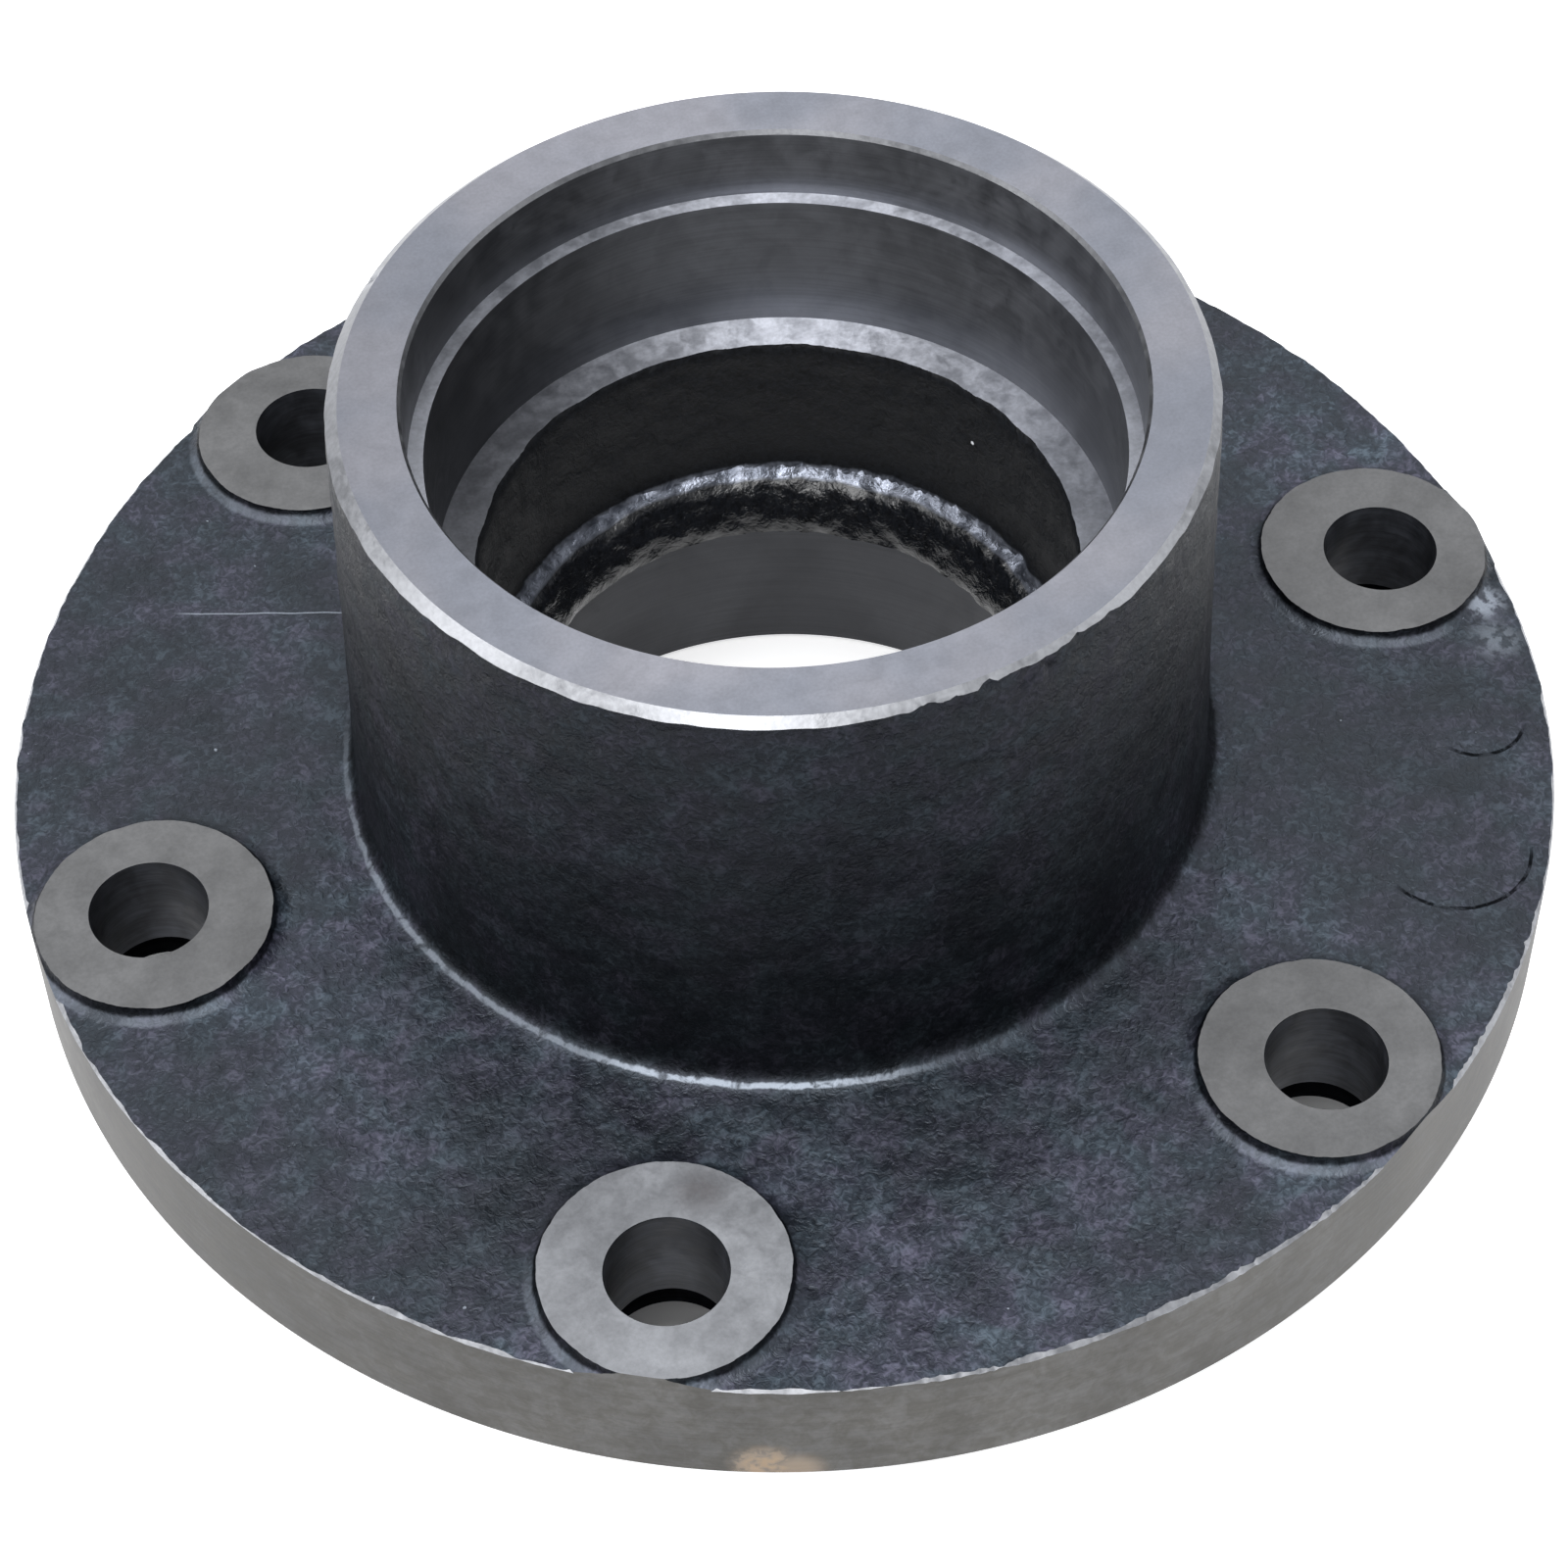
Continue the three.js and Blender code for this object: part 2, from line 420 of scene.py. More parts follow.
mark(outside, None, [RIM, EDGE, RIM, RIM, RIM, RIM, EDGE, FACE])
mark(low_bore, None, [None, EDGE, BORE, BORE, BORE, FACE])
mark(top_bore, None, [FACE, BORE, FACE, BORE, EDGE])
mark(neck_end, None, [FACE, EDGE, EDGE])
nick = np.hypot(fc[:, 0] - 64.1 * math.cos(a), fc[:, 1] - 64.1 * math.sin(a)) < 2.0
kind[nick & (fc[:, 2] > 110.6) & (fc[:, 2] < 112.98) & (kind == CAST)] = EDGE
burr = (fr > FLANGE_R - 0.9) & (fc[:, 2] > FRONT_Z - 1.0) & (fn[:, 2] > 0.6) & (radial > 0.6) & (kind == CAST)
for (x, y, pr), (hx, hy) in zip(PADS, HOLES_XY):
    dp = np.hypot(fc[:, 0] - x, fc[:, 1] - y)
    dr = np.hypot(fc[:, 0] - hx, fc[:, 1] - hy)
    burr &= dp > pr + 1.95
    kind[(dp < 21.5) & (np.abs(fc[:, 2] - PAD_Z) < 0.02) & (fn[:, 2] > 0.99)] = PAD
    kind[(np.abs(dr - HOLE_R) < tol) & (np.abs(fn[:, 2]) < 0.05)] = HOLE
    kind[(np.abs(dr - RELIEF_R) < tol) & (np.abs(fn[:, 2]) < 0.05)] = HOLE
    kind[(dr < RELIEF_R + 0.1) & (np.abs(fc[:, 2] - RELIEF_Z) < 0.02)] = HOLE
kind[burr] = EDGE
kind[(kind == FACE) & (fr < 53.6) & (fc[:, 2] > 60) & (fc[:, 2] < 105)] = LEDGE
kind[(kind == CAST) & (fr < 47) & (fc[:, 2] > 30) & (fc[:, 2] < 80)] = CORE
print("kinds", [int((kind == k).sum()) for k in range(9)])
me.polygons.foreach_set("use_smooth", np.ones(nf, bool))
me.set_sharp_from_angle(angle=math.radians(28))
# A turned or drilled surface takes its exact normal at every corner, so that
# the long thin triangles that the cutters leave don't show in its shading.
nl = len(me.loops)
corner = np.empty(nl * 3, np.float32)
me.corner_normals.foreach_get("vector", corner)
corner = corner.reshape(-1, 3).astype(np.float64)
loop_vert = np.empty(nl, np.int32)
me.loops.foreach_get("vertex_index", loop_vert)
count = np.empty(nf, np.int32)
me.polygons.foreach_get("loop_total", count)
loop_face = np.repeat(np.arange(nf), count)
where = (coords(me) / MM)[loop_vert]
axis = np.zeros((nl, 2))
hole_loop = kind[loop_face] == HOLE
for hx, hy in HOLES_XY:
    near = hole_loop & (np.hypot(where[:, 0] - hx, where[:, 1] - hy) < RELIEF_R + 1.5)
    axis[near] = (hx, hy)
arm = where[:, :2] - axis
arm /= np.maximum(np.hypot(arm[:, 0], arm[:, 1]), 1e-9)[:, None]
face_c = fc[loop_face, :2] - axis
face_c /= np.maximum(np.hypot(face_c[:, 0], face_c[:, 1]), 1e-9)[:, None]
out = (fn[loop_face, :2] * face_c).sum(1)
exact = np.c_[arm * out[:, None], fn[loop_face, 2]]
exact /= np.maximum(np.linalg.norm(exact, axis=1), 1e-9)[:, None]
turned = np.isin(kind[loop_face], [RIM, BORE, HOLE, FACE, PAD, LEDGE])
flat = np.abs(fn[loop_face, 2]) > 0.999
exact[flat] = fn[loop_face][flat]
corner[turned] = exact[turned]
me.normals_split_custom_set(corner.tolist())


# ---- materials -------------------------------------------------------------------
class Shader:
    """A Principled material and short names for the nodes that feed it."""

    def __init__(self, name):
        self.mat = bpy.data.materials.new(name)
        self.mat.use_nodes = True
        self.nt = self.mat.node_tree
        self.nt.nodes.clear()
        out = self.nt.nodes.new("ShaderNodeOutputMaterial")
        self.bsdf = self.nt.nodes.new("ShaderNodeBsdfPrincipled")
        self.nt.links.new(self.bsdf.outputs[0], out.inputs[0])
        self.where = self.nt.nodes.new("ShaderNodeTexCoord").outputs["Object"]
        self._split = None

    def put(self, socket, value):
        if isinstance(value, bpy.types.NodeSocket):
            self.nt.links.new(value, socket)
        elif isinstance(value, tuple) and len(value) == 3 and socket.type == "RGBA":
            socket.default_value = (*value, 1)
        else:
            socket.default_value = value
        return self

    def set(self, **kw):
        for k, v in kw.items():
            self.put(self.bsdf.inputs[k.replace("_", " ")], v)
        return self

    def noise(self, mm, detail=2.0, rough=0.5, distort=0.0, stretch=None, shift=0.0):
        """Noise with features about `mm` millimetres across."""
        m = self.nt.nodes.new("ShaderNodeMapping")
        self.nt.links.new(self.where, m.inputs["Vector"])
        k = 1000.0 / mm
        sx, sy, sz = stretch or (1, 1, 1)
        m.inputs["Scale"].default_value = (k * sx, k * sy, k * sz)
        m.inputs["Location"].default_value = (shift, shift * 1.7, -shift)
        n = self.nt.nodes.new("ShaderNodeTexNoise")
        self.nt.links.new(m.outputs[0], n.inputs["Vector"])
        n.inputs["Scale"].default_value = 1.0
        n.inputs["Detail"].default_value = detail
        n.inputs["Roughness"].default_value = rough
        n.inputs["Distortion"].default_value = distort
        return n.outputs["Fac"]

    def math(self, op, a, b=0.0, c=0.0, clamp=False):
        n = self.nt.nodes.new("ShaderNodeMath")
        n.operation = op
        n.use_clamp = clamp
        for i, v in enumerate((a, b, c)):
            self.put(n.inputs[i], v)
        return n.outputs[0]

    def span(self, value, a, b, lo, hi, smooth=True):
        """Map value from a..b on to lo..hi, held at the ends."""
        n = self.nt.nodes.new("ShaderNodeMapRange")
        n.interpolation_type = "SMOOTHSTEP" if smooth else "LINEAR"
        for i, v in enumerate((value, a, b, lo, hi)):
            self.put(n.inputs[i], v)
        return n.outputs[0]

    def ramp(self, value, *stops):
        n = self.nt.nodes.new("ShaderNodeValToRGB")
        self.put(n.inputs[0], value)
        e = n.color_ramp.elements
        while len(e) < len(stops):
            e.new(0.5)
        for k, (at, c) in enumerate(stops):
            e[k].position = at
            e[k].color = (*c, 1)
        return n.outputs[0]

    def mix(self, f, a, b, kind="MIX"):
        n = self.nt.nodes.new("ShaderNodeMix")
        n.data_type = "RGBA"
        n.blend_type = kind
        self.put(n.inputs[0], f)
        self.put(n.inputs[6], a)
        self.put(n.inputs[7], b)
        return n.outputs[2]

    def tone(self, color, value):
        """Colour multiplied by a grey value."""
        n = self.nt.nodes.new("ShaderNodeVectorMath")
        n.operation = "SCALE"
        if isinstance(color, tuple):
            n.inputs[0].default_value = color
        else:
            self.put(n.inputs[0], color)
        self.put(n.inputs["Scale"], value)
        return n.outputs[0]

    def split(self):
        if self._split is None:
            n = self.nt.nodes.new("ShaderNodeSeparateXYZ")
            self.nt.links.new(self.where, n.inputs[0])
            self._split = n.outputs
        return self._split

    def radius(self):
        """Distance from the hub axis, in millimetres."""
        x, y, _ = self.split()
        rr = self.math("ADD", self.math("MULTIPLY", x, x), self.math("MULTIPLY", y, y))
        return self.math("MULTIPLY", self.math("SQRT", rr), 1000.0)

    def height(self):
        return self.math("MULTIPLY", self.split()[2], 1000.0)

    def spot(self, x, y, z, near, far):
        """1 within `near` mm of a point, fading to 0 at `far` mm."""
        n = self.nt.nodes.new("ShaderNodeVectorMath")
        n.operation = "DISTANCE"
        self.nt.links.new(self.where, n.inputs[0])
        n.inputs[1].default_value = (x * MM, y * MM, z * MM)
        return self.span(self.math("MULTIPLY", n.outputs["Value"], 1000.0), near, far, 1.0, 0.0)

    def band(self, value, a, b, soft):
        """1 while value is between a and b, fading over `soft` outside them."""
        return self.math("MULTIPLY", self.span(value, a - soft, a, 0.0, 1.0), self.span(value, b, b + soft, 1.0, 0.0))

    def beyond(self, circles):
        """How far outside the nearest of the (x, y, radius) circles a point is, in mm."""
        x, y, _ = self.split()
        best = None
        for cx, cy, cr in circles:
            dx = self.math("SUBTRACT", x, cx * MM)
            dy = self.math("SUBTRACT", y, cy * MM)
            d = self.math("SQRT", self.math("ADD", self.math("MULTIPLY", dx, dx), self.math("MULTIPLY", dy, dy)))
            d = self.math("MULTIPLY_ADD", d, 1000.0, -cr)
            best = d if best is None else self.math("MINIMUM", best, d)
        return best

    def near_side(self, circles, margin, angle=-90):
        """How far a point lies from its circle's centre along a camera-axes angle, in mm,
        for points no more than `margin` mm outside one of the circles."""
        a = math.radians(angle - VIEW_TURN)
        total = 0.0
        for cx, cy, cr in circles:
            here = self.spot(cx, cy, FRONT_Z, cr + margin, cr + margin + 0.5)
            dx = self.math("MULTIPLY", self.math("SUBTRACT", self.split()[0], cx * MM), math.cos(a) * 1000.0)
            dy = self.math("MULTIPLY", self.math("SUBTRACT", self.split()[1], cy * MM), math.sin(a) * 1000.0)
            total = self.math("ADD", total, self.math("MULTIPLY", here, self.math("ADD", dx, dy)))
        return total

    def across(self, angle):
        """The coordinate in mm along a direction given in the camera's axes."""
        a = math.radians(angle - VIEW_TURN)
        x, y, _ = self.split()
        return self.math("MULTIPLY", self.math("ADD", self.math("MULTIPLY", x, math.cos(a)), self.math("MULTIPLY", y, math.sin(a))), 1000.0)

    def bump(self, height, mm, strength=1.0, below=None):
        n = self.nt.nodes.new("ShaderNodeBump")
        n.inputs["Strength"].default_value = strength
        n.inputs["Distance"].default_value = mm * MM
        self.put(n.inputs["Height"], height)
        if below is not None:
            self.nt.links.new(below, n.inputs["Normal"])
        return n.outputs[0]

    def radial_tangent(self):
        n = self.nt.nodes.new("ShaderNodeTangent")
        n.direction_type = "RADIAL"
        n.axis = "Z"
        self.nt.links.new(n.outputs[0], self.bsdf.inputs["Tangent"])
        # turning marks run round the axis, so reflections spread across them
        self.bsdf.inputs["Anisotropic Rotation"].default_value = 0.25
        return self


def at_view(radius, angle, z):
    """A point given by its angle in the camera's axes (0 right, -90 nearest)."""
    a = math.radians(angle - VIEW_TURN)
    return radius * math.cos(a), radius * math.sin(a), z


# Soft darker and lighter patches on the flange skin, some of the darker ones painted shade: radius,
# angle from the camera's right, size in mm and how much darker or lighter.
SKIN_PATCHES = [(92, 8, 40, 0.55), (98, 182, 46, 0.62), (88, -112, 26, 0.62), (106, 36, 30, 2.5),
          (108, -100, 20, 1.3), (84, -38, 22, 0.75), (86, -150, 24, 1.15), (106, -62, 22, 0.8)]


def cast_skin():
    """Sand-cast skin: near black, blue-grey where it is rubbed and where highlights are painted on, darker where shade
    is painted, dull and grainy.
    """
    s = Shader("cast_skin")
    grain = s.noise(1.15, 2.5, 0.55, 1.1)
    lumps = s.noise(2.6, 3.0, 0.6, 0.5, shift=3.0)
    cloud = s.noise(13, 4.0, 0.62, 0.9, shift=7.0)
    patch = s.noise(48, 3.0, 0.5, 0.8, shift=11.0)
    tint = s.noise(7.5, 2.0, 0.5, 0.4, shift=15.0)
    tone = s.math("ADD", s.math("MULTIPLY", grain, 0.56), s.math("ADD", s.math("MULTIPLY", lumps, 0.26), s.math("MULTIPLY", cloud, 0.18)))
    color = s.ramp(tone, (0.38, (0.0048, 0.0058, 0.0090)), (0.50, (0.0125, 0.0149, 0.0218)), (0.62, (0.0400, 0.0455, 0.0625)))
    hue = s.mix(s.span(tint, 0.36, 0.64, 0.0, 1.0), (1.14, 0.96, 1.02), (0.90, 1.05, 0.96))
    color = s.mix(1.0, color, hue, "MULTIPLY")
    color = s.tone(color, s.math("MULTIPLY", s.span(patch, 0.36, 0.62, 0.66, 1.30), s.span(cloud, 0.32, 0.66, 0.72, 1.25)))
    patch_tone = 1.0
    for rad, ang, size, k in SKIN_PATCHES:
        at = s.spot(*at_view(rad, ang, FRONT_Z), size * 0.15, size)
        patch_tone = s.math("MULTIPLY", patch_tone, s.span(at, 0.0, 1.0, 1.0, k, smooth=False))
    r, z = s.radius(), s.height()
    wobble = s.math("MULTIPLY_ADD", lumps, 1.2, -0.6)
    # the neck is painted far darker than the flange, partly its own darker skin and partly painted shade of its
    # upright walls, and it shines less than the flange
    neck = s.math("MULTIPLY", s.span(s.math("ADD", r, wobble), 67.2, 68.3, 1.0, 0.0), s.span(z, 35.0, 36.0, 0.0, 1.0))
    color = s.tone(color, s.math("MULTIPLY", patch_tone, s.span(neck, 0.0, 1.0, 1.0, 0.26, smooth=False)))
    shine = s.span(neck, 0.0, 1.0, 0.50, 0.15, smooth=False)
    # painted shade in the corner round each pad, and a painted highlight band beyond it on the near-left side of each
    # pad
    off = s.math("ADD", s.beyond(PADS), s.math("MULTIPLY", wobble, 0.35))
    pad_corner_shade = s.span(off, 0.50, 0.95, 0.20, 1.0)
    band = s.math("MULTIPLY", s.band(off, 1.10, 1.8, 0.6), s.span(s.near_side(PADS, 4.0, -112), 2.0, 15.0, 0.0, 0.16))
    band = s.math("MULTIPLY", band, s.span(cloud, 0.38, 0.58, 0.25, 1.0))
    # a painted highlight along the foot of the neck, strongest at its near side; some spots on the flange are rubbed
    # bright
    neck_foot_highlight = s.band(s.math("ADD", r, wobble), 68.25, 68.70, 0.36)
    neck_foot_highlight = s.math("MULTIPLY", neck_foot_highlight, s.span(z, 36.3, 39.5, 1.0, 0.0))
    bright = s.spot(*at_view(70.0, -96.0, 37.0), 12.0, 32.0)
    faint = s.spot(*at_view(80.0, -128.0, 37.0), 30.0, 84.0)
    side = s.math("MAXIMUM", bright, s.math("MULTIPLY", faint, 0.34))
    neck_foot_highlight = s.math("MULTIPLY", s.math("MULTIPLY", neck_foot_highlight, side), s.span(lumps, 0.33, 0.52, 0.12, 1.0))
    worn = s.math("MAXIMUM", s.spot(*at_view(115.2, 11.8, 36.2), 1.2, 5.0), s.math("MULTIPLY", s.spot(*at_view(115.0, 7.8, 36.2), 1.0, 6.0), 0.45))
    worn = s.math("MULTIPLY", worn, s.span(s.noise(2.4, 3.0, 0.6, shift=33.0), 0.42, 0.55, 0.10, 0.66))
    specks = s.span(s.noise(1.7, 1.0, 0.5, shift=21.0), 0.80, 0.83, 0.0, 0.55)
    scratch = s.math("MULTIPLY", s.band(s.across(88.2), 24.82, 24.99, 0.10), s.band(s.across(-1.8), -94.5, -60.0, 5.0))
    # painted highlights of the neck foot and the pads, mixed with rubbed spots, specks and a scratch
    wear_and_highlight = neck_foot_highlight
    for m in (worn, s.math("MULTIPLY", specks, s.span(neck, 0.0, 0.5, 1.0, 0.0)), s.math("MULTIPLY", scratch, 0.5), band):
        wear_and_highlight = s.math("MAXIMUM", wear_and_highlight, m)
    color = s.mix(wear_and_highlight, color, (0.30, 0.335, 0.39))
    # painted shade: a thin dark line along the near side of each foundry mark, for its shaded step
    edge = s.math("ADD", s.beyond(MARKS), s.math("MULTIPLY", wobble, 0.15))
    mark_edge_shade = s.math("MULTIPLY", s.band(edge, -0.24, 0.16, 0.16), s.span(s.near_side(MARKS, 1.5, -71), 3.0, 6.0, 0.0, 0.88))
    mark_edge_shade = s.math("MULTIPLY", mark_edge_shade, s.span(lumps, 0.36, 0.54, 0.35, 1.0))
    shade = s.math("MULTIPLY", pad_corner_shade, s.math("SUBTRACT", 1.0, mark_edge_shade))
    color = s.tone(color, shade)
    rough = s.math("ADD", s.span(lumps, 0.3, 0.7, 0.38, 0.54), s.span(cloud, 0.3, 0.7, -0.05, 0.06))
    below = s.bump(lumps, 0.30, 0.9)
    s.set(Base_Color=color, Metallic=0.0, Roughness=rough, Normal=s.bump(grain, 0.20, 1.0, below), Specular_IOR_Level=s.math("MULTIPLY", shine, shade))
    s.bsdf.inputs["Specular Tint"].default_value = (0.78, 0.87, 1.0, 1)
    return s.mat


def glossy_core():
    """The inside of the casting: nearly black, with shiny lumps."""
    s = Shader("core_skin")
    grain = s.noise(0.8, 3.0, 0.6, 0.6)
    lumps = s.noise(2.0, 3.0, 0.6, 0.5, shift=5.0)
    on_ledge = s.math("MULTIPLY", s.span(s.radius(), 42.2, 42.9, 0.0, 1.0), s.span(s.height(), 50.0, 50.8, 1.0, 0.0))
    color = s.ramp(grain, (0.36, (0.0012, 0.0015, 0.0022)), (0.64, (0.0060, 0.0072, 0.0098)))
    # a painted glint: one tiny bright dot on the black core wall
    painted_glint = s.spot(*at_view(44.6, 46.6, 66.3), 0.2, 0.42)
    color = s.mix(painted_glint, color, (0.7, 0.72, 0.76))
    color = s.mix(on_ledge, color, s.ramp(lumps, (0.36, (0.07, 0.078, 0.098)), (0.58, (0.19, 0.205, 0.245))))
    s.set(Base_Color=color, Metallic=s.math("MULTIPLY", on_ledge, 0.75), Roughness=s.span(s.height(), 49.5, 51.5, 0.27, 0.58),
          Normal=s.bump(grain, 0.12, 0.8, s.bump(lumps, 0.35, 0.8)))
    s.set(Specular_IOR_Level=s.span(s.height(), 48.0, 50.5, 0.62, 0.24))
    return s.mat


def ring_face():
    s = Shader("turned_face")
    fine = s.noise(0.5, 3.0, 0.6)
    mott = s.noise(4.5, 4.0, 0.6, 0.4, shift=2.0)
    soft = s.noise(22, 3.0, 0.5, shift=4.0)
    v = s.math("MULTIPLY", s.span(mott, 0.3, 0.7, 0.90, 1.08), s.math("MULTIPLY", s.span(soft, 0.3, 0.7, 0.92, 1.08), s.span(fine, 0.25, 0.75, 0.94, 1.06)))
    # painted shade: the turned face is darker towards the camera's left and on its near side
    v = s.math("MULTIPLY", v, s.math("MULTIPLY", s.span(s.across(0), -66.0, -25.0, 0.89, 1.0), s.span(s.across(90), -66.0, -30.0, 0.90, 1.0)))
    color = s.tone(s.mix(s.span(soft, 0.35, 0.65, 0.0, 1.0), (0.262, 0.275, 0.316), (0.272, 0.275, 0.306)), v)
    s.set(Base_Color=color, Metallic=1.0, Roughness=s.span(mott, 0.3, 0.7, 0.46, 0.56), Normal=s.bump(fine, 0.02, 0.5))
    s.bsdf.inputs["Anisotropic"].default_value = 0.25
    return s.radial_tangent().mat


def ledge_face():
    s = Shader("turned_ledge")
    fine = s.noise(0.6, 3.0, 0.6)
    mott = s.noise(3.0, 4.0, 0.6, 0.4, shift=2.0)
    v = s.math("MULTIPLY", s.span(mott, 0.3, 0.7, 0.82, 1.12), s.span(fine, 0.25, 0.75, 0.9, 1.1))
    # painted shade: the lower ledges are darker towards the camera's left
    left = s.math("MAXIMUM", s.span(s.across(0), -48.0, -12.0, 0.50, 1.0), s.span(s.height(), 85.0, 95.0, 0.0, 0.88))
    v = s.math("MULTIPLY", v, left)
    s.set(Base_Color=s.tone((0.48, 0.495, 0.545), v), Metallic=1.0, Roughness=s.span(mott, 0.3, 0.7, 0.40, 0.52), Normal=s.bump(fine, 0.03, 0.5))
    s.bsdf.inputs["Anisotropic"].default_value = 0.75
    return s.radial_tangent().mat


def rim_wall():
    s = Shader("turned_rim")
    fine = s.noise(0.6, 3.0, 0.6)
    mott = s.noise(3.2, 4.0, 0.62, 0.6, shift=2.0)
    soft = s.noise(16, 3.0, 0.5, shift=5.0)
    lines = s.noise(1.6, 2.0, 0.6, stretch=(0.06, 0.06, 2.4), shift=9.0)
    v = s.math("MULTIPLY", s.span(mott, 0.30, 0.70, 0.70, 1.22), s.math("MULTIPLY", s.span(soft, 0.3, 0.7, 0.84, 1.12), s.span(fine, 0.25, 0.75, 0.93, 1.07)))
    v = s.math("MULTIPLY", v, s.span(lines, 0.3, 0.7, 0.93, 1.07))
    color = s.tone(s.mix(s.span(mott, 0.35, 0.65, 0.0, 1.0), (0.074, 0.071, 0.064), (0.080, 0.079, 0.077)), v)
    # painted shade: the turned rim is darker towards the camera's left
    color = s.tone(color, s.span(s.across(0), -70.0, 70.0, 0.85, 1.0))
    rx, ry, rz = at_view(FLANGE_R, -92.4, 16.4)
    rust = s.math("MULTIPLY", s.spot(rx, ry, rz, 1.6, 6.4), s.span(s.noise(1.9, 3.0, 0.6, 0.4, shift=1.0), 0.34, 0.6, 0.35, 1.0))
    rx, ry, rz = at_view(FLANGE_R, -90.2, 15.2)
    rust = s.math("MAXIMUM", rust, s.math("MULTIPLY", s.spot(rx, ry, rz, 1.2, 5.5), 0.6))
    color = s.mix(rust, color, (0.200, 0.138, 0.080))
    s.set(Base_Color=color, Metallic=s.span(rust, 0.0, 0.6, 0.75, 0.0), Roughness=s.span(mott, 0.3, 0.7, 0.50, 0.62),
          Normal=s.bump(lines, 0.03, 0.5, s.bump(mott, 0.05, 0.6)))
    return s.mat


def pad_face():
    s = Shader("spot_face")
    fine = s.noise(0.6, 3.0, 0.62)
    mott = s.noise(3.4, 4.0, 0.62, 0.5, shift=6.0)
    soft = s.noise(13, 3.0, 0.5, shift=8.0)
    v = s.math("MULTIPLY", s.span(mott, 0.3, 0.7, 0.88, 1.10), s.math("MULTIPLY", s.span(soft, 0.3, 0.7, 0.88, 1.12), s.span(fine, 0.25, 0.75, 0.93, 1.07)))
    px, py, _ = PADS[4]
    bright = s.spot(px, py, PAD_Z, 20.0, 22.0)
    base = s.mix(bright, (0.150, 0.151, 0.154), (0.270, 0.278, 0.296))
    # the dull corner of the nearest pad
    dx, dy = own(5.2, 13.2)
    dull = s.math("MULTIPLY", s.spot(px + dx, py + dy, PAD_Z, 0.8, 5.6), s.span(mott, 0.35, 0.55, 0.45, 1.0))
    base = s.tone(base, s.mix(bright, (1.0, 1.0, 1.0), s.span(s.across(0), -34.0, -4.0, 0.93, 1.08)))
    base = s.mix(dull, base, (0.165, 0.162, 0.170))
    s.set(Base_Color=s.tone(base, v), Metallic=0.85, Roughness=s.span(mott, 0.3, 0.7, 0.48, 0.60), Normal=s.bump(fine, 0.03, 0.5))
    return s.mat


def bore_wall():
    s = Shader("bore_wall")
    fine = s.noise(0.6, 3.0, 0.6)
    mott = s.noise(5.0, 4.0, 0.62, 0.5, shift=2.0)
    soft = s.noise(19, 3.0, 0.5, 0.6, shift=6.0)
    lines = s.noise(0.9, 2.0, 0.6, stretch=(0.03, 0.03, 2.0), shift=9.0)
    v = s.math("MULTIPLY", s.span(mott, 0.3, 0.7, 0.88, 1.12), s.math("MULTIPLY", s.span(soft, 0.32, 0.68, 0.88, 1.12), s.span(lines, 0.3, 0.7, 0.93, 1.07)))
    v = s.math("MULTIPLY", v, s.span(s.height(), 42.0, 60.0, 0.30, 0.74))
    v = s.math("MULTIPLY", v, s.span(s.height(), 100.0, 101.0, 1.0, 1.12))
    # painted shade darkens the bore walls towards the camera's left, and painted light lifts them on the right
    v = s.math("MULTIPLY", v, s.math("MULTIPLY", s.span(s.across(0), -50.0, -15.0, 0.54, 1.0), s.span(s.across(0), 15.0, 50.0, 1.0, 1.30)))
    s.set(Base_Color=s.tone((0.150, 0.155, 0.170), v), Metallic=0.9, Roughness=s.span(mott, 0.3, 0.7, 0.34, 0.48),
          Normal=s.bump(lines, 0.02, 0.5, s.bump(fine, 0.02, 0.5)))
    s.bsdf.inputs["Anisotropic"].default_value = 0.5
    return s.radial_tangent().mat


def cut_edge():
    s = Shader("cut_edge")
    fine = s.noise(0.8, 3.0, 0.6)
    mott = s.noise(3.0, 4.0, 0.65, 0.5, shift=2.0)
    v = s.math("MULTIPLY", s.span(mott, 0.3, 0.7, 0.80, 1.12), s.span(fine, 0.25, 0.75, 0.9, 1.1))
    # painted highlight: brightest at the near side of the neck top, lighter also at the nick and all round the rim;
    # painted shade makes the edges darker inside the bores and low down
    highlight_and_wear = s.math("MAXIMUM", s.spot(*at_view(60.0, -76.0, 113.0), 46.0, 98.0), s.spot(*at_view(64.1, 157.4, 113.0), 2.2, 3.2))
    highlight_and_wear = s.math("MAXIMUM", highlight_and_wear, s.span(s.radius(), 80.0, 90.0, 0.0, 1.0))
    v = s.math("MULTIPLY", v, s.span(highlight_and_wear, 0.0, 1.0, 0.52, 0.68, smooth=False))
    v = s.math("MULTIPLY", v, s.span(s.radius(), 55.0, 58.0, 0.72, 1.0))
    v = s.math("MULTIPLY", v, s.span(s.height(), 20.0, 30.0, 0.5, 1.0))
    s.set(Base_Color=s.tone((0.50, 0.51, 0.54), v), Metallic=1.0, Roughness=s.span(mott, 0.3, 0.7, 0.34, 0.50), Normal=s.bump(fine, 0.04, 0.6))
    return s.mat


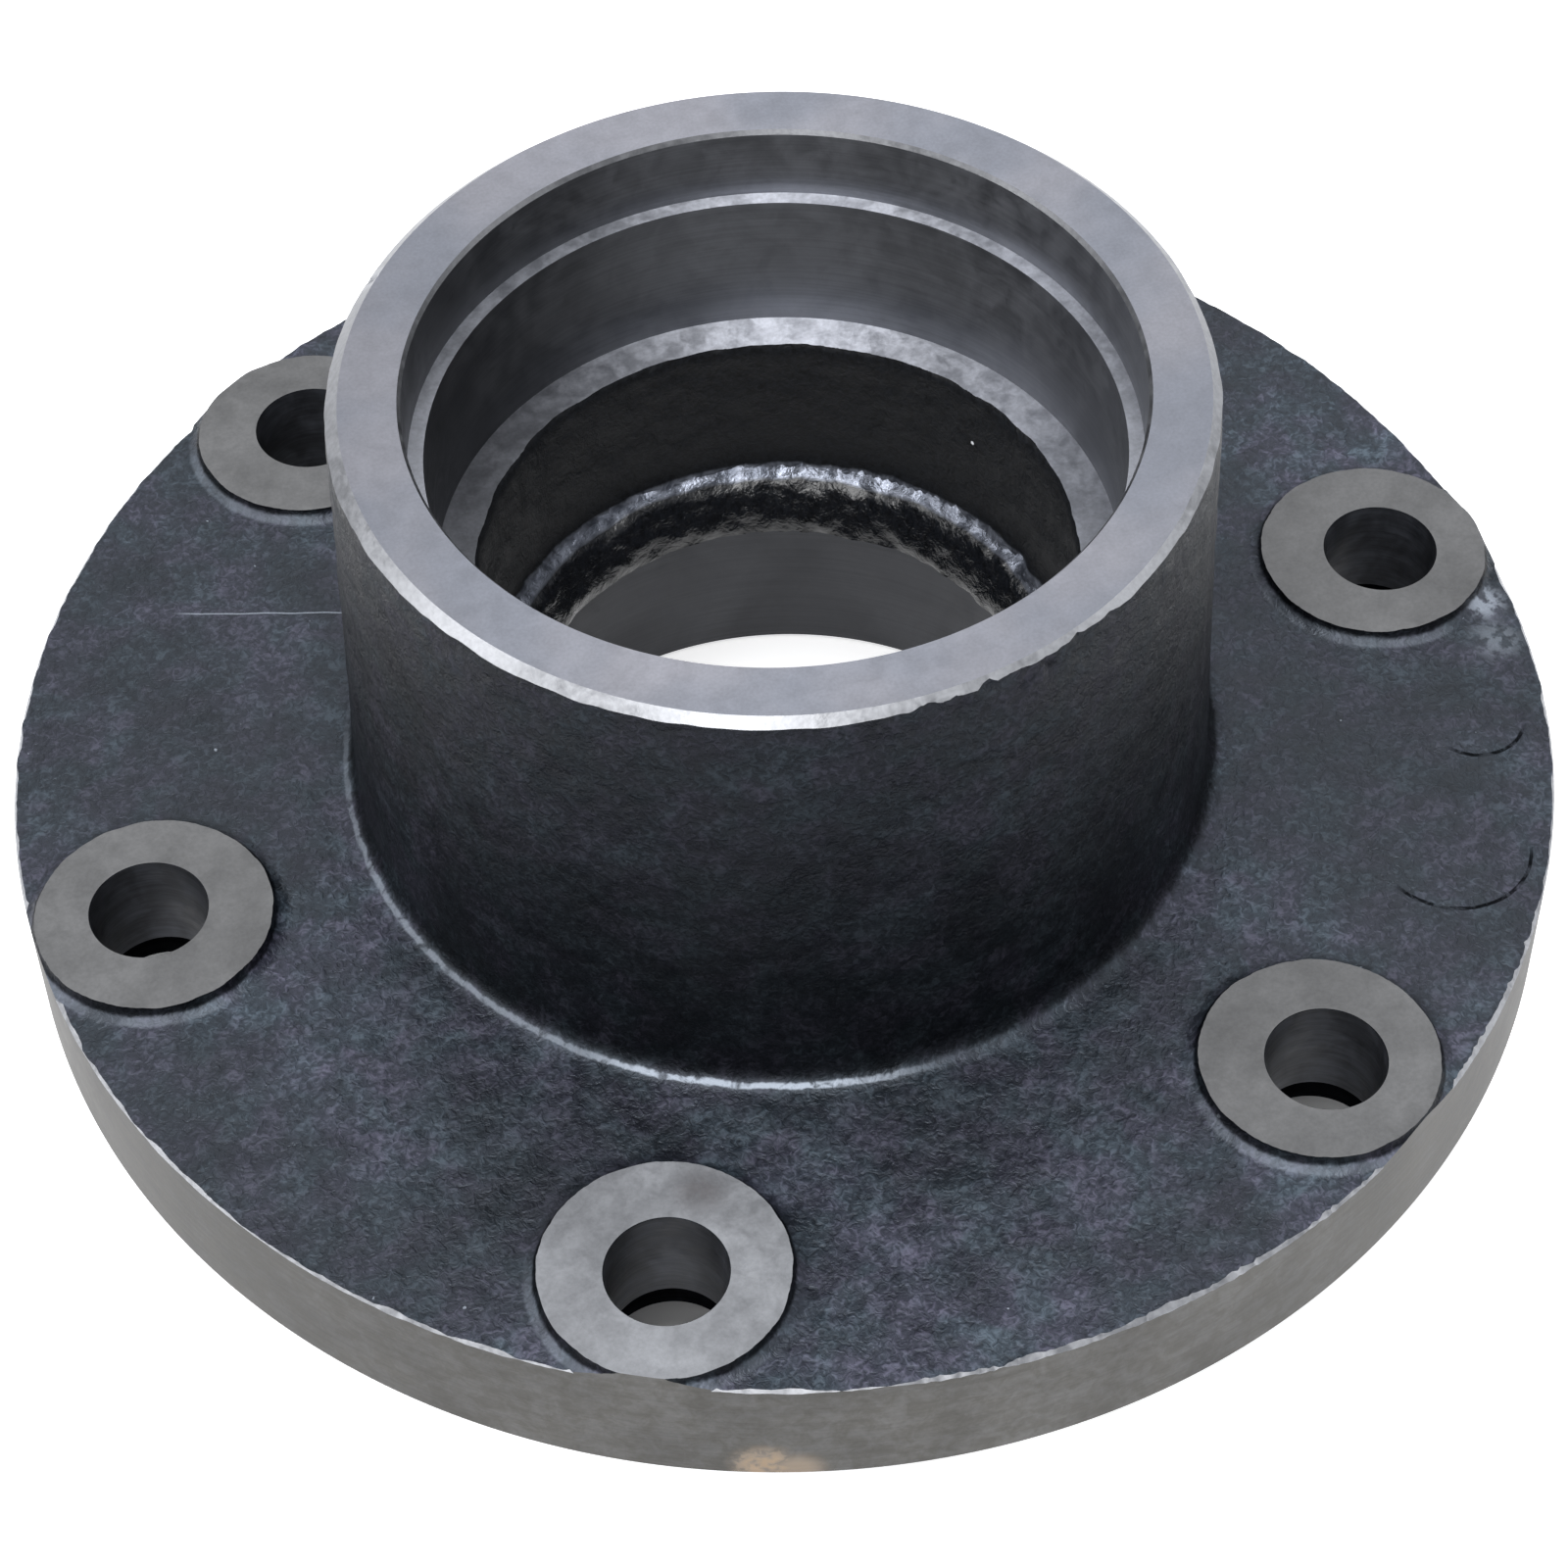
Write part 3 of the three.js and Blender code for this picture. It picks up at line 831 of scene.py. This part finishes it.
def hole_wall():
    s = Shader("drilled")
    fine = s.noise(0.7, 3.0, 0.6)
    mott = s.noise(3.4, 4.0, 0.6, 0.5, shift=2.0)
    rings = s.noise(1.2, 3.0, 0.65, stretch=(0.12, 0.12, 1.6), shift=4.0)
    v = s.math("MULTIPLY", s.span(mott, 0.3, 0.7, 0.72, 1.22), s.span(rings, 0.3, 0.7, 0.75, 1.2))
    # painted shade: the counterbore at the back is painted black and given no shine, for the deep shade under the
    # flange
    v = s.math("MULTIPLY", v, s.span(s.height(), RELIEF_Z - 0.2, RELIEF_Z + 0.1, 0.06, 1.0))
    v = s.math("MULTIPLY", v, s.span(s.noise(6.0, 2.0, 0.5, 0.6, shift=12.0), 0.35, 0.65, 0.62, 1.15))
    above_relief = s.span(s.height(), RELIEF_Z - 0.2, RELIEF_Z + 0.1, 0.0, 1.0)
    s.set(Base_Color=s.tone((0.036, 0.039, 0.047), v), Metallic=s.math("MULTIPLY", above_relief, 0.5), Specular_IOR_Level=s.math("MULTIPLY", above_relief, 0.5),
          Roughness=s.math("ADD", s.span(mott, 0.3, 0.7, 0.40, 0.56), s.math("MULTIPLY_ADD", above_relief, -0.4, 0.4)),
          Normal=s.bump(rings, 0.08, 0.6, s.bump(fine, 0.03, 0.5)))
    return s.mat


mats = [cast_skin(), ring_face(), rim_wall(), pad_face(), bore_wall(), cut_edge(), hole_wall(), ledge_face(), glossy_core()]
me.materials.clear()
for m in mats:
    me.materials.append(m)
me.polygons.foreach_set("material_index", kind.astype(np.int32))
me.update()

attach(hub, "root")
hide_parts("hub_casting")

# ---- floor, light and camera -------------------------------------------------------
# The floor lies a hair under the part and can be seen through from below.
floor = mesh_from("floor", [(-6, -6, -0.0003), (6, -6, -0.0003), (6, 6, -0.0003), (-6, 6, -0.0003)], [(0, 1, 2, 3)])
fs = Shader("pale_glowing_floor").set(Base_Color=(0.86, 0.86, 0.87), Roughness=0.9)
# painted light: it glows a little, like a light table, but the glow is left off over a disc under the flange, a
# painted contact shadow; inside the spigot it glows again so the floor seen down the bore stays white
floor_glow_mask = fs.math("MAXIMUM", fs.span(fs.beyond([(*own(0.0, 7.0), 116.0)]), -2.0, 2.0, 0.0, 1.0), fs.span(fs.radius(), 58.0, 62.0, 1.0, 0.0))
fs.set(Emission_Color=(1.0, 1.0, 1.0), Emission_Strength=fs.math("MULTIPLY", floor_glow_mask, 0.6))
clear = fs.nt.nodes.new("ShaderNodeBsdfTransparent")
sided = fs.nt.nodes.new("ShaderNodeMixShader")
fs.nt.links.new(fs.nt.nodes.new("ShaderNodeNewGeometry").outputs["Backfacing"], sided.inputs[0])
fs.nt.links.new(fs.bsdf.outputs[0], sided.inputs[1])
fs.nt.links.new(clear.outputs[0], sided.inputs[2])
fs.nt.links.new(sided.outputs[0], next(n for n in fs.nt.nodes if n.type == "OUTPUT_MATERIAL").inputs[0])
floor.data.materials.append(fs.mat)
if floor.data.polygons[0].normal.z < 0:
    floor.data.flip_normals()

# The camera stands where the photograph's did: 545.6 flange radii / 100 away.
UNIT = 1.2 * MM
AZ = math.radians(-19.5)
pitch, roll = 0.8810737, -0.0239826
f_px = 4258.8
cy, cz = 352.438 * UNIT, 416.481 * UNIT
right = Vector((1, 0, 0))
fwd = Vector((0, math.cos(pitch), -math.sin(pitch)))
up = Vector((0, math.sin(pitch), math.cos(pitch)))
right, up = (
    right * math.cos(roll) + up * math.sin(roll),
    up * math.cos(roll) - right * math.sin(roll),
)
turn = Matrix.Rotation(AZ, 3, "Z")
right, up, fwd = turn @ right, turn @ up, turn @ fwd
cam_data = bpy.data.cameras.new("camera")
cam = bpy.data.objects.new("camera", cam_data)
bpy.context.scene.collection.objects.link(cam)
cam_data.sensor_width = 36.0
cam_data.sensor_fit = "HORIZONTAL"
cam_data.lens = 36.0 * f_px / 1600.0
cam_data.clip_start, cam_data.clip_end = 0.01, 50.0
rot = Matrix((right, up, -fwd)).transposed().to_4x4()
cam.matrix_world = Matrix.Translation(turn @ Vector((0, -cy, cz)) + Vector((0, 0, FRONT_Z * MM))) @ rot
bpy.context.scene.camera = cam


def area(name, az, el, dist, size, power, color=(1, 1, 1)):
    """An area light at azimuth az (0 is the camera's side) and elevation el, aimed at the hub."""
    a, e = math.radians(az) + AZ, math.radians(el)
    back = Vector((math.sin(a) * math.cos(e), -math.cos(a) * math.cos(e), math.sin(e)))
    d = bpy.data.lights.new(name, "AREA")
    d.shape = "SQUARE"
    d.size = size
    d.energy = power
    d.color = color
    o = bpy.data.objects.new(name, d)
    bpy.context.scene.collection.objects.link(o)
    o.location = Vector((0, 0, 0.05)) + back * dist
    o.rotation_mode = "QUATERNION"
    o.rotation_quaternion = (-back).to_track_quat("-Z", "Y")
    return o


area("key", -12, 46, 1.6, 0.7, 11)
area("high", -12, 78, 1.6, 0.8, 16)
area("back", 175, 55, 1.8, 1.4, 6)
area("left", -80, 35, 1.8, 1.0, 13)
area("right", 82, 22, 1.8, 0.7, 2.8)
world = bpy.data.worlds.new("world")
bpy.context.scene.world = world
world.use_nodes = True
world.node_tree.nodes["Background"].inputs[0].default_value = (0.95, 0.97, 1.0, 1)
world.node_tree.nodes["Background"].inputs[1].default_value = 0.64
bpy.context.scene.view_settings.view_transform = "Standard"
bpy.context.scene.view_settings.look = "None"
